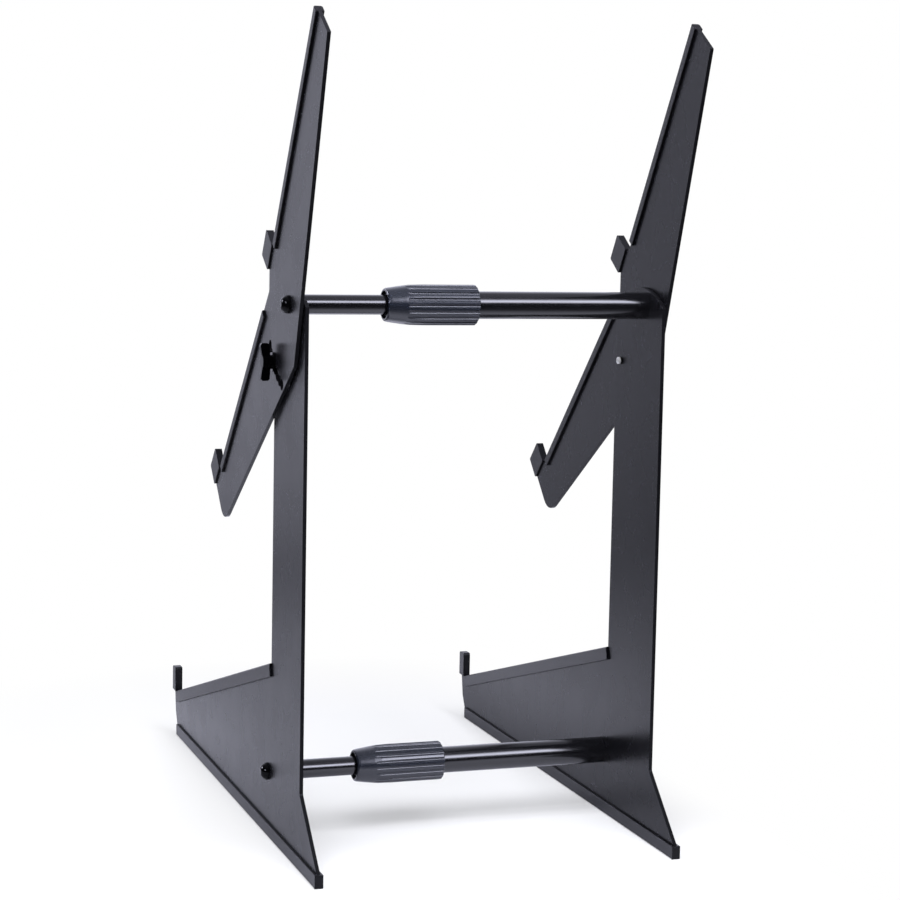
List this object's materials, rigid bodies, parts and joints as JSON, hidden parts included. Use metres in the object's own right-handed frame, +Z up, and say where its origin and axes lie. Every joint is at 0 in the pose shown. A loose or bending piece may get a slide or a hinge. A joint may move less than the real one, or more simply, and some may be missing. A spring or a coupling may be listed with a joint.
{
  "type": "desktop studio stand",
  "caption": "Three-tier desktop stand: two steel side plates joined by telescopic twist-lock crossbars, with tilting tier plates outside, hooks, rubber trims and wing knobs.",
  "frame": {"origin": "centre of the footprint on the floor", "axes": "+Z up, hooks and tiers face -Y, crossbars along X, clutch mouths towards +X"},
  "size_m": [0.3362, 0.5487, 0.6768],
  "materials": {
    "coated_steel": "satin",
    "gloss_tube": "gloss",
    "black_screw": "gloss",
    "rubber": "matte",
    "plastic": "matte",
    "grip_plastic": "matte",
    "knob_plastic": "gloss",
    "zinc_steel": "satin",
    "plug_alloy": "satin"
  },
  "bodies": {
    "frame_right": {"plate_right": "coated_steel", "foot_trim_right": "rubber", "shelf_trim_right": "rubber", "front_cap_right": "rubber", "pivot_screw_right": "black_screw", "pivot_spacer_right": "plastic", "bar_screw_right": "black_screw", "clinch_nut_right": "zinc_steel", "outer_tube_upper": "gloss_tube", "outer_tube_lower": "gloss_tube", "outer_plug_upper": "plug_alloy", "outer_plug_lower": "plug_alloy", "clutch_bush_upper": "plastic", "clutch_bush_lower": "plastic"},
    "frame_left": {"plate_left": "coated_steel", "foot_trim_left": "rubber", "shelf_trim_left": "rubber", "front_cap_left": "rubber", "pivot_screw_left": "black_screw", "pivot_spacer_left": "plastic", "bar_screw_left": "black_screw", "clinch_nut_left": "zinc_steel", "inner_tube_upper": "gloss_tube", "inner_tube_lower": "gloss_tube", "inner_plug_upper": "plug_alloy", "inner_plug_lower": "plug_alloy", "glide_upper": "plastic", "glide_lower": "plastic"},
    "arm_right": {"tier_plate_right": "coated_steel", "upper_trim_right": "rubber", "middle_trim_right": "rubber", "upper_cap_right": "rubber", "middle_cap_right": "rubber"},
    "arm_left": {"tier_plate_left": "coated_steel", "upper_trim_left": "rubber", "middle_trim_left": "rubber", "upper_cap_left": "rubber", "middle_cap_left": "rubber"},
    "clamp_right": {"knob_washer_right": "black_screw"},
    "knob_right": {"knob_right": "knob_plastic", "stud_right": "zinc_steel"},
    "clamp_left": {"knob_washer_left": "black_screw"},
    "knob_left": {"knob_left": "knob_plastic", "stud_left": "zinc_steel"},
    "collet_upper": {"collet_upper": "plastic"},
    "grip_upper": {"grip_upper": "grip_plastic"},
    "collet_lower": {"collet_lower": "plastic"},
    "grip_lower": {"grip_lower": "grip_plastic"}
  },
  "joints": [
    {"name": "width_slide", "type": "slide", "parent": "frame_right", "child": "frame_left", "axis": [1, 0, 0], "range_m": [-0.065, 0.06]},
    {"name": "tilt_right", "type": "hinge", "parent": "frame_right", "child": "arm_right", "pos_m": [-0.1556, 0.17107, 0.449], "axis": [1, 0, 0], "range_deg": [-28, 14]},
    {"name": "clamp_travel_right", "type": "slide", "parent": "frame_right", "child": "clamp_right", "axis": [-1, 0, 0], "range_m": [0, 0.00301]},
    {"name": "knob_spin_right", "type": "hinge", "parent": "clamp_right", "child": "knob_right", "pos_m": [-0.163, 0.1244, 0.39982], "axis": [-1, 0, 0], "range_deg": [0, 1080]},
    {"name": "tilt_left", "type": "hinge", "parent": "frame_left", "child": "arm_left", "pos_m": [0.1556, 0.17107, 0.449], "axis": [1, 0, 0], "range_deg": [-28, 14]},
    {"name": "clamp_travel_left", "type": "slide", "parent": "frame_left", "child": "clamp_left", "axis": [1, 0, 0], "range_m": [0, 0.00301]},
    {"name": "knob_spin_left", "type": "hinge", "parent": "clamp_left", "child": "knob_left", "pos_m": [0.163, 0.1244, 0.39982], "axis": [1, 0, 0], "range_deg": [0, 1080]},
    {"name": "clutch_travel_upper", "type": "slide", "parent": "frame_right", "child": "collet_upper", "axis": [1, 0, 0], "range_m": [0, 0.00101]},
    {"name": "grip_spin_upper", "type": "hinge", "parent": "collet_upper", "child": "grip_upper", "pos_m": [0.0395, 0.17107, 0.449], "axis": [1, 0, 0], "range_deg": [0, 120]},
    {"name": "clutch_travel_lower", "type": "slide", "parent": "frame_right", "child": "collet_lower", "axis": [1, 0, 0], "range_m": [0, 0.00101]},
    {"name": "grip_spin_lower", "type": "hinge", "parent": "collet_lower", "child": "grip_lower", "pos_m": [0.0395, 0.10457, 0.054], "axis": [1, 0, 0], "range_deg": [0, 120]}
  ],
  "couplings": [
    {"joint": "clamp_travel_right", "follows": "knob_spin_right", "m_per_rad": 0.00015915},
    {"joint": "clamp_travel_left", "follows": "knob_spin_left", "m_per_rad": 0.00015915},
    {"joint": "clutch_travel_upper", "follows": "grip_spin_upper", "m_per_rad": 0.00047746},
    {"joint": "clutch_travel_lower", "follows": "grip_spin_lower", "m_per_rad": 0.00047746}
  ]
}
